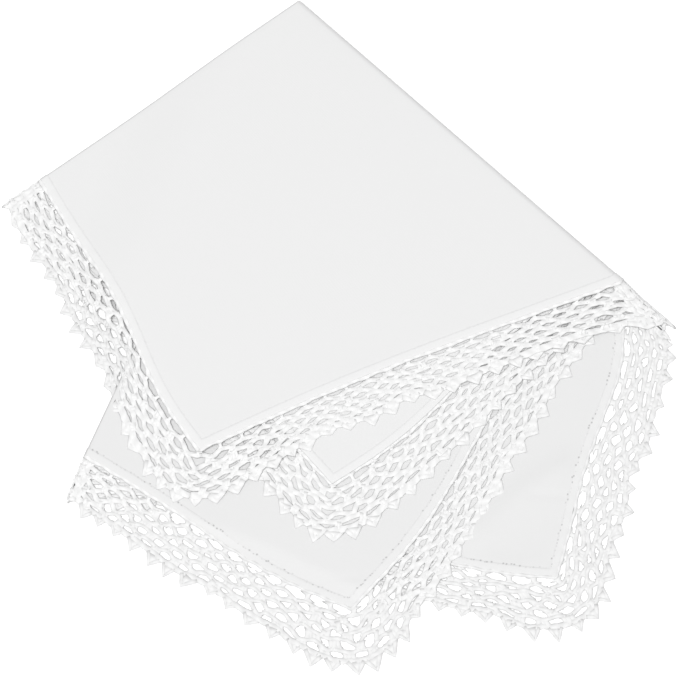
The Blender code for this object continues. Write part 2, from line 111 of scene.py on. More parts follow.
class Fold:
    """A fold seen from above: straight over the cloth, turning a little into the lace."""

    def __init__(self, name):
        hem, tip, layer = FOLDS[name]
        reach, over = np.array(hem) - CENTRE, np.array(tip) - np.array(hem)
        self.length = float(np.hypot(*reach))
        self.heading = math.atan2(reach[1], reach[0])
        self.turn = math.atan2(over[1], over[0]) - self.heading
        self.steps = np.arange(0.0, self.length + 30.0, 0.25)
        middles = self.direction(self.steps[:-1] + 0.125)
        self.points = CENTRE + np.vstack([[0, 0], np.cumsum(middles * 0.25, axis=0)])
        self.hem = self.point(np.array([self.length]))[0]
        inside = np.array(CORNERS[layer]) - CENTRE
        self.side = -1.0 if left_of(reach) @ inside > 0 else 1.0

    def direction(self, distance):
        angle = self.heading + self.turn * ramp((distance - self.length) / FOLD_TURN_LENGTH + 0.5)
        return np.stack([np.cos(angle), np.sin(angle)], -1)

    def point(self, distance):
        return np.stack([np.interp(distance, self.steps, self.points[:, axis]) for axis in (0, 1)], -1)

    def outward(self, distance):
        return self.side * left_of(self.direction(distance))


class HalfSide:
    """Half of one side of the square: the hem from a fold to the corner of a layer."""

    def __init__(self, layer, fold_name):
        self.bow, self.width = HALF_SIDES[(layer, fold_name)]
        self.swells = [row[2:] for row in LACE_SWELLS if row[:2] == (layer, fold_name)]
        self.fold = FOLD[fold_name]
        self.start = self.fold.hem
        chord = np.array(CORNERS[layer]) - self.start
        self.length = float(np.hypot(*chord))
        self.along = chord / self.length
        away = left_of(self.along)
        self.out = away if away @ (CENTRE - self.start) < 0 else -away

    def point(self, distance):
        part = distance / self.length
        bulge = sum(size * np.sin((wave + 1) * math.pi * part) for wave, size in enumerate(self.bow))
        return self.start + column(distance) * self.along + column(bulge) * self.out

    def normal(self, distance):
        turns = [(wave + 1) * math.pi / self.length for wave in range(len(self.bow))]
        slope = sum(size * turn * np.cos(turn * distance) for size, turn in zip(self.bow, turns))
        return unit(self.out - column(slope) * self.along)

    def lace_width(self, distance):
        at_fold, middle, corner = self.width
        swell = sum(extra * ramp(1 - abs(distance - place) / reach)
                    for place, reach, extra in self.swells)
        return (middle + swell + (at_fold - middle) * (1 - ramp(distance / FOLD_BLEND))
                + (corner - middle) * ramp(1 - (self.length - distance) / CORNER_WIDEN))

    def rib(self, distance):
        """Vector from the hem to the outer edge of the lace. Near a corner the ribs spread, and
        the last ones end on an arc about the corner, up to its middle line."""
        start = self.length - CORNER_BLEND
        part = np.clip((distance - start) / CORNER_BLEND, 0, 1)
        spread = part * CORNER_BLEND + self.corner_width * self.corner_turn * part ** 1.5
        across = np.where(distance < start, distance, np.minimum(start + spread, self.length))
        turn = np.maximum(spread - CORNER_BLEND, 0) / self.corner_width
        own = self.lace_width(across)
        reach = own + (self.corner_width - own) * ramp(turn / self.corner_turn)
        normal = self.normal(across)
        way = normal * column(np.cos(turn)) + self.corner_way * left_of(normal) * column(np.sin(turn))
        return self.point(across) + way * column(reach) - self.point(distance)

    def lace_point(self, distance, out):
        """Point of the lace beside the hem, a given distance out from it."""
        rib = self.rib(distance)
        stretch = np.linalg.norm(rib, axis=-1) / self.lace_width(distance)
        square = (unit(rib) * self.normal(distance)).sum(-1)
        reach = out * stretch + np.minimum(out, SEAM_GAP) * (1 / square - stretch)
        fold_part = 1 - ramp(distance / RIB_BLEND)
        on_fold = self.fold.point(self.fold.length + out) - self.fold.hem
        at_start = self.normal(np.zeros(1)) * column(out)
        return (self.point(distance) + unit(rib) * column(reach)
                + column(fold_part) * (on_fold - at_start))


FOLD = {name: Fold(name) for name in FOLDS}
HALF = {key: HalfSide(*key) for key in HALF_SIDES}


def set_corner_turns():
    """Each corner's middle line halves the turn between the two half sides that meet there."""
    for layer in CORNERS:
        pair = [half for (own, _), half in HALF.items() if own == layer]
        for half, other in (pair, pair[::-1]):
            mine = half.normal(np.array([half.length]))[0]
            theirs = other.normal(np.array([other.length]))[0]
            turn = math.atan2(mine[0] * theirs[1] - mine[1] * theirs[0], mine @ theirs)
            half.corner_turn, half.corner_way = abs(turn) / 2, math.copysign(1.0, turn)
            half.corner_width = (half.width[2] + other.width[2]) / 2


set_corner_turns()


def cloth_point(layer, s, t):
    """Patch between the two folds and the two half sides of a layer; s and t run 0 to 1."""
    first, second = FOLD[ALONG[layer]], FOLD[ACROSS[layer]]
    facing_first, facing_second = HALF[(layer, ACROSS[layer])], HALF[(layer, ALONG[layer])]
    edges = (column(1 - s) * second.point(second.length * t)
             + column(s) * facing_second.point(facing_second.length * t)
             + column(1 - t) * first.point(first.length * s)
             + column(t) * facing_first.point(facing_first.length * s))
    corners = (column((1 - s) * (1 - t)) * CENTRE + column(s * (1 - t)) * first.hem
               + column((1 - s) * t) * second.hem + column(s * t) * np.array(CORNERS[layer]))
    return edges - corners


def layer_outline(layer):
    """Outline of a layer with its lace, as a polygon."""
    points = [CENTRE[None, :]]
    for name, way in ((ALONG[layer], 1), (ACROSS[layer], -1)):
        half = HALF[(layer, name)]
        stations = np.linspace(0, half.length, 17)
        points.append(half.lace_point(stations, half.lace_width(stations))[::way])
    return np.vstack(points)


OUTLINE = {layer: layer_outline(layer) for layer in (2, 3, 4)}


def distance_outside(layer, places):
    """Distance of each place from a layer's outline, 0 inside it."""
    nearest = np.full(len(places), 1e9)
    crossings = np.zeros(len(places), int)
    outline = OUTLINE[layer]
    for start, end in zip(outline, np.roll(outline, -1, axis=0)):
        edge = end - start
        part = np.clip((places - start) @ edge / (edge @ edge), 0, 1)
        nearest = np.minimum(nearest, np.linalg.norm(places - start - column(part) * edge, axis=1))
        spans = (start[1] > places[:, 1]) != (end[1] > places[:, 1])
        cross = start[0] + (places[:, 1] - start[1]) * edge[0] / (edge[1] or 1e-9)
        crossings += spans & (places[:, 0] < cross)
    return np.where(crossings % 2 == 1, 0.0, nearest)


def drop(layer, places):
    """How far a layer lies below its level in the full stack of four."""
    total = np.zeros(len(places))
    margin, stagger, length = DROPS[layer]
    for under in range(layer + 1, 5):
        beyond = distance_outside(under, places) - margin - stagger * (under - layer - 1)
        total += ramp(beyond / length)
    return LAYER_STEP * total


def layer_of(angle_one, angle_two):
    return np.where(angle_two >= 0, np.where(angle_one >= 0, 1, 2), np.where(angle_one >= 0, 4, 3))


def lay_out(angle_one, arc_one, angle_two, arc_two, offset, find):
    """Points of the folded sheet. The angles are those round the first and the second fold, a
    quarter turn either way where the sheet is flat; find gives the places on one layer."""
    radius_one = HALF_STEP + offset
    out_one, level = radius_one * np.cos(angle_one), radius_one * np.sin(angle_one)
    radius_two = LAYER_STEP + level
    out_two, height = radius_two * np.cos(angle_two), STACK_MID + radius_two * np.sin(angle_two)
    layers = layer_of(angle_one, angle_two)
    result = np.zeros((len(layers), 3))
    for layer in CORNERS:
        own = layers == layer
        if not own.any():
            continue
        place, on_first, on_second = find(layer, own)
        share = (1 + np.sin(angle_two[own])) / 2
        way = unit(FOLD["left"].outward(on_first) * column(share)
                   + FOLD["lower"].outward(on_first) * column(1 - share))
        place = place + column(np.where(arc_one[own], out_one[own], 0)) * way
        way = FOLD[ACROSS[layer]].outward(on_second)
        place = place + column(np.where(arc_two[own], out_two[own], 0)) * way
        share = 1.0 if layer == 3 else share
        result[own] = np.column_stack([place, height[own] - share * drop(layer, place)])
    return result


# --- the cotton square ---
CLOTH_HALF = 0.24          # half the thickness drawn for the single cloth
HEM_HALF = 0.42            # and for the folded hem
HEM_WIDTH = 2.5
HEM_LINES = (0.0, 0.05, 0.14, 0.9, 1.7, 2.2, 2.45, 2.65, 2.85, 3.3)
GRID_STEP = 1.7
ARC_STEPS = 12
LAWN_THREAD = 0.42         # one drawn thread of the weave
PIN_STEP = 1.4             # from one stitch hole to the next
PIN_LINE = HEM_WIDTH + 0.1

CREASES = (   # layer, start, end, sideways bow, half width, height (a trough is negative)
    (4, (40.0, -68.0), (76.0, -40.0), 2.5, 4.5, 0.8),
    (4, (46.0, -72.0), (78.0, -52.0), -2.0, 5.0, -0.30),
    (4, (60.0, -52.0), (72.0, -51.5), 0.0, 0.8, -0.3),
    (3, (-26.0, -76.5), (10.0, -78.5), -1.5, 0.7, -0.34),
    (2, (-4.0, -28.0), (26.0, -22.0), 2.0, 5.0, 0.15),
)


def stations(first, second, steps):
    """Grid lines from one hem over the fold to the other hem, as columns of one table:
    side of the fold, part of the way to the hem lines, distance from the hem, angle, on the arc."""
    lines = []
    for side, count in ((1, steps[0]), (-1, steps[1])):
        half = [(side, 1.0, depth, side * math.pi / 2, False) for depth in HEM_LINES[:-1]]
        half += [(side, 1 - step / count, HEM_LINES[-1], side * math.pi / 2, False)
                 for step in range(count)]
        lines.append(half)
    arc = [(math.copysign(1, angle), 0.0, HEM_LINES[-1], angle, True)
           for angle in np.linspace(math.pi / 2, -math.pi / 2, ARC_STEPS + 1)]
    return np.array(lines[0] + arc + lines[1][::-1], float)


def patch_depth(layer, fraction, facing_second):
    """Straight distance across a layer's patch to one of its two half sides."""
    half = HALF[(layer, (ALONG if facing_second else ACROSS)[layer])]
    fold = FOLD[(ACROSS if facing_second else ALONG)[layer]]
    away = half.point(half.length * fraction) - fold.point(fold.length * fraction)
    return (away * half.normal(half.length * fraction)).sum(-1)


def crease_height(layer, places):
    total = np.zeros(len(places))
    for own, start, end, bow, half_width, height in CREASES:
        if own != layer:
            continue
        start, run = np.array(start), np.array(end) - np.array(start)
        length = np.hypot(*run)
        along = (places - start) @ run / length ** 2
        across = (places - start) @ left_of(run) / length - bow * np.sin(math.pi * np.clip(along, 0, 1))
        ends = ramp(along * 3 + 0.5) * ramp((1 - along) * 3 + 0.5)
        total += height * np.exp(-(across / half_width) ** 2) * ends
    return total


def slow_waves(places, seed, step):
    """Smooth uneven field between about -1 and 1, with bumps about a step apart."""
    source = np.random.default_rng(seed)
    total = np.zeros(len(places))
    for _ in range(14):
        angle, phase = source.uniform(0, 2 * math.pi, 2)
        turn = 2 * math.pi / (step * source.uniform(0.7, 1.6))
        total += np.sin(turn * (places @ [math.cos(angle), math.sin(angle)]) + phase)
    return total / 14 ** 0.5 / 1.6


def cotton_mesh():
    """Closed thin sheet over the whole square, with a thicker hem."""
    across_steps = round(135 / GRID_STEP)
    columns = stations("left", "lower", (round(100 / GRID_STEP), round(165 / GRID_STEP)))
    rows = stations("outer", "inner", (across_steps, across_steps))
    wide, high = len(columns), len(rows)
    c = np.repeat(columns, high, axis=0)
    r = np.tile(rows, (wide, 1))
    # columns run along the first fold, so they cross the second; rows the other way round
    angle_two, arc_two = c[:, 3], c[:, 4] > 0.5
    angle_one, arc_one = r[:, 3], r[:, 4] > 0.5
    edge = np.zeros(len(c))
    hem_along = np.zeros(len(c))

    def parts(layer, own):
        depth_s = patch_depth(layer, r[own, 1], True)
        depth_t = patch_depth(layer, c[own, 1], False)
        s = c[own, 1] * (1 - c[own, 2] / depth_s)
        t = r[own, 1] * (1 - r[own, 2] / depth_t)
        to_s, to_t = (1 - s) * depth_s, (1 - t) * depth_t
        edge[own] = np.minimum(to_s, to_t)
        hem_along[own] = np.where(to_s < to_t, t * HALF[(layer, ALONG[layer])].length,
                                  s * HALF[(layer, ACROSS[layer])].length)
        return s, t

    def find(layer, own):
        s, t = parts(layer, own)
        return (cloth_point(layer, s, t), s * FOLD[ALONG[layer]].length,
                t * FOLD[ACROSS[layer]].length)

    middle = lay_out(angle_one, arc_one, angle_two, arc_two, np.zeros(len(c)), find)
    layers = layer_of(angle_one, angle_two)
    flat = ~(arc_one | arc_two)
    raised = np.zeros(len(c))
    for layer in CORNERS:
        own = (layers == layer)
        calm = ramp((edge[own]) / 8) * np.where(flat[own], 1, 0)
        near_fold = ramp(np.minimum(c[own, 1], r[own, 1]) * 12)
        raised[own] = near_fold * calm * (crease_height(layer, middle[own, :2])
                                          + 0.07 * slow_waves(middle[own, :2], layer, 34.0))
    rounding = np.sqrt(np.clip(1 - (1 - np.clip(edge / 0.14, 0, 1)) ** 2, 0, 1))
    folded = ramp((HEM_WIDTH + 0.15 - edge) / 0.3)
    half = CLOTH_HALF + (HEM_HALF - CLOTH_HALF) * folded
    stitched = np.exp(-((edge - PIN_LINE) / 0.22) ** 2)
    half = half * (1 - 0.08 * stitched) * (0.5 + 0.5 * rounding)
    pucker = 1 + 0.12 * folded * np.sin(hem_along * 2 * math.pi / 6.3 + 2 * np.sin(hem_along / 17))
    both = []
    for way in (1, -1):
        side = lay_out(angle_one, arc_one, angle_two, arc_two, way * half * pucker, find)
        side[:, 2] += raised
        both.append(side)
    low = np.minimum(both[1][:, 2], both[0][:, 2])
    lift = np.maximum(0.02 - low, 0)
    vertices = np.vstack([side + np.column_stack([lift * 0, lift * 0, lift]) for side in both])
    index = np.arange(wide * high).reshape(wide, high)
    a, b, d, e = index[:-1, :-1], index[1:, :-1], index[1:, 1:], index[:-1, 1:]
    top = np.stack([a, b, d, e], -1).reshape(-1, 4)
    bottom = top[:, ::-1] + wide * high
    rim = np.concatenate([index[:, 0], index[-1, 1:], index[-2::-1, -1], index[0, -2:0:-1]])
    after = np.roll(rim, -1)
    walls = np.stack([after, rim, rim + wide * high, after + wide * high], -1)
    s_place = np.sign(c[:, 0]) * c[:, 1]
    t_place = np.sign(r[:, 0]) * r[:, 1]
    weave_map = np.column_stack([s_place * 0.125, t_place * 0.125])
    hem_map = np.column_stack([hem_along, edge]) * MM
    # the "fold" map holds in x how near a place lies to the edge round the first fold, for the painted shade
    # there, and in y 1 on the two lower layers, for their painted shade and their stitch holes
    fold_map = np.column_stack([np.where(arc_one, np.cos(angle_one), 0), layers > 2])
    return (vertices, np.vstack([top, bottom, walls]).tolist(),
            {"weave": np.vstack([weave_map] * 2), "hem": np.vstack([hem_map] * 2),
             "fold": np.vstack([fold_map] * 2)})


def make_piece(name, vertices, faces, maps, material):
    """Mesh object from places in millimetres, with a UV map for each entry of maps."""
    data = bpy.data.meshes.new(name)
    data.from_pydata((vertices * MM).tolist(), [], faces)
    corner_vertex = np.empty(len(data.loops), np.int32)
    data.loops.foreach_get("vertex_index", corner_vertex)
    for map_name, values in maps.items():
        layer = data.uv_layers.new(name=map_name)
        layer.data.foreach_set("uv", values[corner_vertex].astype(np.float32).ravel())
    data.polygons.foreach_set("use_smooth", np.ones(len(data.polygons), bool))
    data.materials.append(material)
    piece = bpy.data.objects.new(name, data)
    bpy.context.scene.collection.objects.link(piece)
    return piece


# --- the lace ring: steps from a corner over a fold to the next corner ---
RING = (("left", 1, 2), ("inner", 2, 3), ("lower", 3, 4), ("outer", 4, 1))
ARC_SIGN = {"left": 1, "inner": 1, "lower": -1, "outer": -1}
ARC_LENGTH = {"left": 2.0, "inner": 2.0, "lower": 2.0, "outer": 6.1}
STEP_LENGTH = [HALF[(begin, name)].length + ARC_LENGTH[name] + HALF[(end, name)].length
               for name, begin, end in RING]
STEP_START = np.concatenate([[0], np.cumsum(STEP_LENGTH)])
FOLD_PLACE = [start + HALF[(begin, name)].length + ARC_LENGTH[name] / 2
              for (name, begin, end), start in zip(RING, STEP_START)]
RING_LENGTH = STEP_START[-1]
NOMINAL_WIDTH = 16.4

STITCH_PITCH = 7.3        # from one slit beside the hem to the next
SUB_STEPS = 5             # points of a round for each half pitch
# the threads that run round the net, the first one along the hem: out, swing in and out, half width
ROUNDS = ((-0.1, 0.1, 0.55), (2.55, 0.4, 0.62), (4.6, 0.42, 0.66), (6.6, 0.42, 0.68),
          (8.8, 0.42, 0.68), (11.0, 0.42, 0.7), (13.3, 0.15, 0.95))
DRAWN_IN = (0.0, 0.3, 0.15, 0.0, 0.0, 0.0, 0.0)    # closer to the hem where they rest on a layer
# posts worked from one round to the next: side steps of their strands, half width at waist and ends
POSTS = (((0.0,), 0.85, 2.6),) + (((-1.2, 0.0, 1.2), 0.8, 1.25),) * 5
FAN_IN, FAN_OUT = (0.45, 1.0), (0.85, 1.15)   # how far a post's strands stand apart at its ends
FULLER_POST = 0.18        # share of the posts that have a strand more, as in an uneven hand
THREAD_TALL = 0.29        # half height of a thread, which lies a little flattened
SECTION = np.array(((1.0, 0.0), (0.75, 0.9), (-0.75, 0.9), (-1.0, 0.0), (-0.75, -0.9), (0.75, -0.9)))
POST_TALL = 0.24
PICOT_LOOP = (    # across and out of the points of a picot's loop, half width of its thread
    (-2.9, 13.6, 0.7), (-1.9, 14.5, 0.75), (-0.9, 15.6, 0.7), (0.0, 16.8, 0.62),
    (0.9, 15.6, 0.7), (1.9, 14.5, 0.75), (2.9, 13.6, 0.7))
PICOT_HEART = ((0.0, 13.6, 1.9), (0.0, 14.8, 1.2), (0.0, 16.1, 0.6))


def lace_spot(ring, out, offset):
    """Points of the lace at a length round the ring and a distance out from the hem."""
    ring = np.mod(ring, RING_LENGTH)
    step = np.clip(np.searchsorted(STEP_START, ring, side="right") - 1, 0, 3)
    result = np.zeros((len(ring), 3))
    for number, (name, begin, end) in enumerate(RING):
        here = step == number
        if not here.any():
            continue
        place = ring[here] - STEP_START[number]
        first, arc = HALF[(begin, name)].length, ARC_LENGTH[name]
        value = np.where(place < first, first - place, np.maximum(place - first - arc, 0))
        on_arc = (place >= first) & (place <= first + arc)
        turn = np.clip(1 - 2 * (place - first) / arc, -1, 1) * math.pi / 2 * ARC_SIGN[name]
        still = math.pi / 2 * (1 if name in ("left", "outer") else -1)
        reach, raise_by = out[here], offset[here]
        crossing_first = name in ("left", "lower")
        angle_one = turn if crossing_first else np.full(len(turn), still)
        angle_two = np.full(len(turn), still) if crossing_first else turn
        no_arc = np.zeros(len(turn), bool)

        def find(layer, own):
            half = HALF[(layer, name)]
            at_fold = [HALF[(side, name)].lace_width(0.0) for side in (end, begin)]
            share = (1 + np.sin(turn[own] * ARC_SIGN[name])) / 2
            width = np.where(on_arc[own], at_fold[0] + (at_fold[1] - at_fold[0]) * share,
                             half.lace_width(value[own]))
            outward = SEAM_GAP + reach[own] / NOMINAL_WIDTH * (width - SEAM_GAP)
            on_fold = half.fold.length + outward
            flat_place = half.lace_point(value[own], outward)
            return (np.where(column(on_arc[own]), half.fold.point(on_fold), flat_place),
                    on_fold, on_fold)

        result[here] = lay_out(angle_one, on_arc if crossing_first else no_arc,
                               angle_two, no_arc if crossing_first else on_arc, raise_by, find)
    return result


# the solid sheets are thicker than real cloth, so the lace of each layer sinks this far to lie on
# what is under it
SINK = {1: 0.7, 2: 0.7, 3: 0.7, 4: 0.15}
SINK_LENGTH = 1.6
SETTLE = 0.85             # share of the air under it that it closes, growing to full this far out
SETTLE_LENGTH = 6.0


def sink(ring, out):
    places, depths = [], []
    for (name, begin, end), start in zip(RING, STEP_START):
        fold = start + HALF[(begin, name)].length
        places += [fold, fold + ARC_LENGTH[name]]
        depths += [SINK[begin], SINK[end]]
    return np.interp(ring, places, depths, period=RING_LENGTH) * ramp((out + 0.5) / SINK_LENGTH)


ROUND_SPREAD = 0.3        # rounds lie so much wider where they rest on another layer, and posts
POST_SPREAD = -0.28       # so much narrower, so that the gaps between them are long and low
CLOTH_FLATTEN = 0.3       # both lie so much flatter there


def rest_tables():
    """For each millimetre round the ring and out from the hem: 1 where the lace rests on another
    layer and 0 where it is clear of them, and how much air is under it."""
    ring, out = (grid.ravel() for grid in np.meshgrid(np.arange(RING_LENGTH), np.arange(19.0),
                                                      indexing="ij"))
    spots = lace_spot(ring, out, np.zeros(len(ring)))
    places = spots[:, :2]
    rests, below = np.zeros(len(ring)), np.full(len(ring), LEVEL[5])
    for (_, begin, end), start, fold, length in zip(RING, STEP_START, FOLD_PLACE, STEP_LENGTH):
        for layer, own in ((begin, (ring >= start) & (ring < fold)),
                           (end, (ring >= fold) & (ring < start + length))):
            for under in range(layer + 1, 5):
                covered = 1 - ramp(distance_outside(under, places[own]) / 1.5)
                rests[own] = np.maximum(rests[own], covered)
                height = np.where(covered > 0.5, LEVEL[under] - drop(under, places[own]), LEVEL[5])
                below[own] = np.maximum(below[own], height)
    air = np.clip(spots[:, 2] - below - LAYER_STEP, 0, 3).reshape(-1, 19)
    air = sum(np.roll(air, shift, axis=0) for shift in range(-3, 4)) / 7
    return rests.reshape(-1, 19), air


RESTS, AIR = rest_tables()


def look_up(table, ring, out):
    """Value of a table at places between its millimetres."""
    ring, out = np.mod(ring, RING_LENGTH), np.clip(out, 0, 17.99)
    i, j = ring.astype(int), out.astype(int)
    a, b, after = ring - i, out - j, (i + 1) % len(table)
    return ((1 - b) * ((1 - a) * table[i, j] + a * table[after, j])
            + b * ((1 - a) * table[i, j + 1] + a * table[after, j + 1]))


class Threads:
    """Collects tubes of thread; all of them become one mesh."""

    def __init__(self):
        self.vertices, self.faces, self.maps, self.lies, self.count = [], [], [], [], 0

    def tube(self, ring, out, offset, wide, tall, closed=False, spread=0.3):
        """A thread through the given places of the lace, flattened in section."""
        sides = len(SECTION)
        rests = look_up(RESTS, ring, out)
        wide, thinner = wide * (1 + spread * rests), tall * CLOTH_FLATTEN * rests
        middle = lace_spot(ring, out, offset)
        over = lace_spot(ring, out, offset + 0.2)
        up = unit(over - middle)
        tall = tall - thinner
        lowest = tall + 0.03 + np.maximum(offset + 0.08, 0)
        settled = SETTLE * look_up(AIR, ring, out) * ramp(out / SETTLE_LENGTH)
        middle[:, 2] = np.maximum(middle[:, 2] - sink(ring, out) - thinner - settled, lowest)
        if closed:
            forward = np.roll(middle, -1, axis=0) - np.roll(middle, 1, axis=0)
        else:
            forward = np.gradient(middle, axis=0)
        forward = unit(forward)
        across = unit(np.cross(up, forward))
        up = np.cross(forward, across)
        shell = (middle[:, None, :]
                 + SECTION[None, :, :1] * across[:, None, :] * column(column(wide))
                 + SECTION[None, :, 1:] * up[:, None, :] * column(column(tall)))
        # round a fold a thread stands on its edge, and is pressed on the table there
        shell[:, :, 2] = np.maximum(shell[:, :, 2], 0.02)
        length = np.concatenate([[0], np.cumsum(np.linalg.norm(np.diff(middle, axis=0), axis=1))])
        count = len(middle)
        index = self.count + np.arange(count * sides).reshape(count, sides)
        here, there = (index, np.roll(index, -1, axis=0)) if closed else (index[:-1], index[1:])
        quads = np.stack([here, there, np.roll(there, -1, axis=1), np.roll(here, -1, axis=1)], -1)
        self.faces += quads.reshape(-1, 4).tolist()
        if not closed:
            self.faces += [index[0].tolist(), index[-1][::-1].tolist()]
        self.vertices.append(shell.reshape(-1, 3))
        self.maps.append(np.stack([np.repeat(length, sides),
                                   np.tile(SECTION[:, 0] * float(np.mean(wide)), count)], -1) * MM)
        self.lies.append(np.repeat(column(rests), sides, axis=0) * (1.0, 0.0))
        self.count += count * sides

    def piece(self, name, material):
        return make_piece(name, np.vstack(self.vertices), self.faces,
                          {"thread": np.vstack(self.maps), "lies": np.vstack(self.lies)}, material)


def row_places(out):
    """Ring positions of the half pitches of a row. Every corner falls on a whole pitch, and every
    fold halfway between two, so that a picot points along it. A row further out has more pitches
    at a corner, where the lace spreads."""
    places = []
    for (name, begin, end), start, length, fold in zip(RING, STEP_START, STEP_LENGTH, FOLD_PLACE):
        along = np.linspace(0, length, 800)
        before, after = (part // STITCH_PITCH + 0.5 for part in (fold - start, start + length - fold))
        pitches = np.interp(along, (0, fold - start, length), (0, before, before + after))
        for layer, far in ((begin, along), (end, length - along)):
            half = HALF[(layer, name)]
            more = round(half.corner_turn * half.corner_width * out / NOMINAL_WIDTH / STITCH_PITCH)
            spread = more * np.clip(1 - far / CORNER_BLEND, 0, 1) ** 1.5
            pitches += more - spread if layer == begin else spread
        count = 2 * round(pitches[-1])
        places.append(start + np.interp(np.arange(count) / 2, pitches, along))
    return np.concatenate(places)


def stitches(out, first):
    """Every second half pitch of a row, with its share of the full pitch along the hem."""
    places = row_places(out)
    wide = np.mod(np.roll(places, -1) - np.roll(places, 1), RING_LENGTH) / STITCH_PITCH
    return list(zip(places[first::2], wide[first::2]))


class Round:
    """A thread that runs right round the net, by the half pitches of the row inside it."""

    def __init__(self, number):
        out, swing, self.half_width = ROUNDS[number]
        places = row_places(out)
        count = len(places)
        # it bulges outwards over the gaps that it closes, and inwards under the next ones
        way = np.where(np.arange(count) % 2 == number % 2, 1.0, -1.0)
        loose = 0.4 if number in (0, len(ROUNDS) - 1) else 1.0
        self.lift = 0.0 if number else 0.25     # the first one lies level with the hem
        outs = out + way * swing * rng.uniform(0.3, 1.6, count) + loose * rng.normal(0, 0.26, count)
        outs -= DRAWN_IN[number] * look_up(RESTS, places, outs)
        rings = places + loose * rng.normal(0, 0.5, count)
        steps = np.arange(count * SUB_STEPS) / SUB_STEPS
        here, part = steps.astype(int), steps % 1.0
        after = (here + 1) % count
        ahead = np.where(after == 0, rings[0] + RING_LENGTH, rings[after])
        self.ring = rings[here] * (1 - part) + ahead * part
        self.outs = outs[here] + (outs[after] - outs[here]) * ramp(part)

    def out_at(self, ring):
        return np.interp(ring, self.ring, self.outs, period=RING_LENGTH)


def add_round(threads, line):
    count = len(line.ring)
    threads.tube(line.ring, line.outs, line.lift + rng.normal(0, 0.03, count),
                 line.half_width * rng.uniform(0.85, 1.15, count),
                 THREAD_TALL * rng.uniform(0.88, 1.12, count), closed=True, spread=ROUND_SPREAD)


def add_posts(threads, row, inner, outer):
    sides, waist, flare = POSTS[row]
    part = np.linspace(0, 1, 4)
    wide = np.array((flare, waist, waist, flare))
    for place, scale in stitches(ROUNDS[row + 1][0], row % 2):
        own = sides + (rng.choice((-2.2, 2.2)),) if row and rng.random() < FULLER_POST else sides
        middle = np.array((inner.out_at(place) + outer.out_at(place)) / 2)
        closer = 1 - 0.3 * look_up(RESTS, place, middle)
        fan = np.array((rng.uniform(*FAN_IN), rng.uniform(*FAN_OUT))) * scale * closer
        lean = rng.normal(0, 0.35, 2)
        for side in own:
            ends = place + side * fan + lean + rng.normal(0, 0.12, 2)
            ring = ends[0] + (ends[1] - ends[0]) * part
            out = inner.out_at(ends[0]) * (1 - part) + outer.out_at(ends[1]) * part
            threads.tube(ring, out, np.full(4, rng.normal(0.03, 0.05)),
                         wide * rng.uniform(0.85, 1.15), np.full(4, POST_TALL), spread=POST_SPREAD)


def add_fold_threads(threads):
    """The strands that a fold presses together make a dense straight band along its edge."""
    out = np.linspace(0.4, 13.4, 12)
    for fold, (name, _, _) in zip(FOLD_PLACE, RING):
        count = math.ceil((ARC_LENGTH[name] / 2 + 2.0) / 1.6)
        for side in range(-count, count + 1):
            ring = fold + 1.6 * side * (0.75 + 0.25 * out / 13) + rng.normal(0, 0.15, 12)
            threads.tube(ring, out + rng.normal(0, 0.1), np.full(12, 0.02 if side else 0.1),
                         rng.uniform(0.55, 0.85) * np.linspace(1.1, 0.9, 12), np.full(12, 0.3))


def add_picots(threads):
    for place, scale in stitches(PICOT_LOOP[3][1], 1):
        place += rng.normal(0, 0.45)
        lean, size, reach = rng.normal(0, 0.5), rng.uniform(0.7, 1.08), rng.uniform(0.66, 1.12)
        level = rng.normal(0, 0.05)
        for shape, tall in ((PICOT_LOOP, 0.32), (PICOT_HEART, 0.3)):
            across, out, wide = (np.array(values) for values in zip(*shape))
            height = (out - PICOT_LOOP[0][1]) * reach
            threads.tube(place + (across * size + lean * height / 3) * scale, PICOT_LOOP[0][1] + height,
                         level + np.linspace(-0.04, 0.04, len(out)), wide * size, np.full(len(out), tall))


# --- materials ---
def hex_colour(text):
    """sRGB hex to the linear colour that shaders take."""
    values = [int(text[place:place + 2], 16) / 255 for place in (0, 2, 4)]
    return tuple(v / 12.92 if v <= 0.04045 else ((v + 0.055) / 1.055) ** 2.4 for v in values) + (1.0,)


def add_node(tree, kind, settings=None, links=None):
    """One shader node, with its own settings and its inputs set or linked."""
    node = tree.nodes.new(kind)
    for name, value in (settings or {}).items():
        setattr(node, name, value)
    for name, value in (links or {}).items():
        if isinstance(value, bpy.types.NodeSocket):
            tree.links.new(value, node.inputs[name])
        else:
            node.inputs[name].default_value = value
    return node


def new_material(name):
    material = bpy.data.materials.new(name)
    material.use_nodes = True
    tree = material.node_tree
    tree.nodes.clear()
    return material, tree


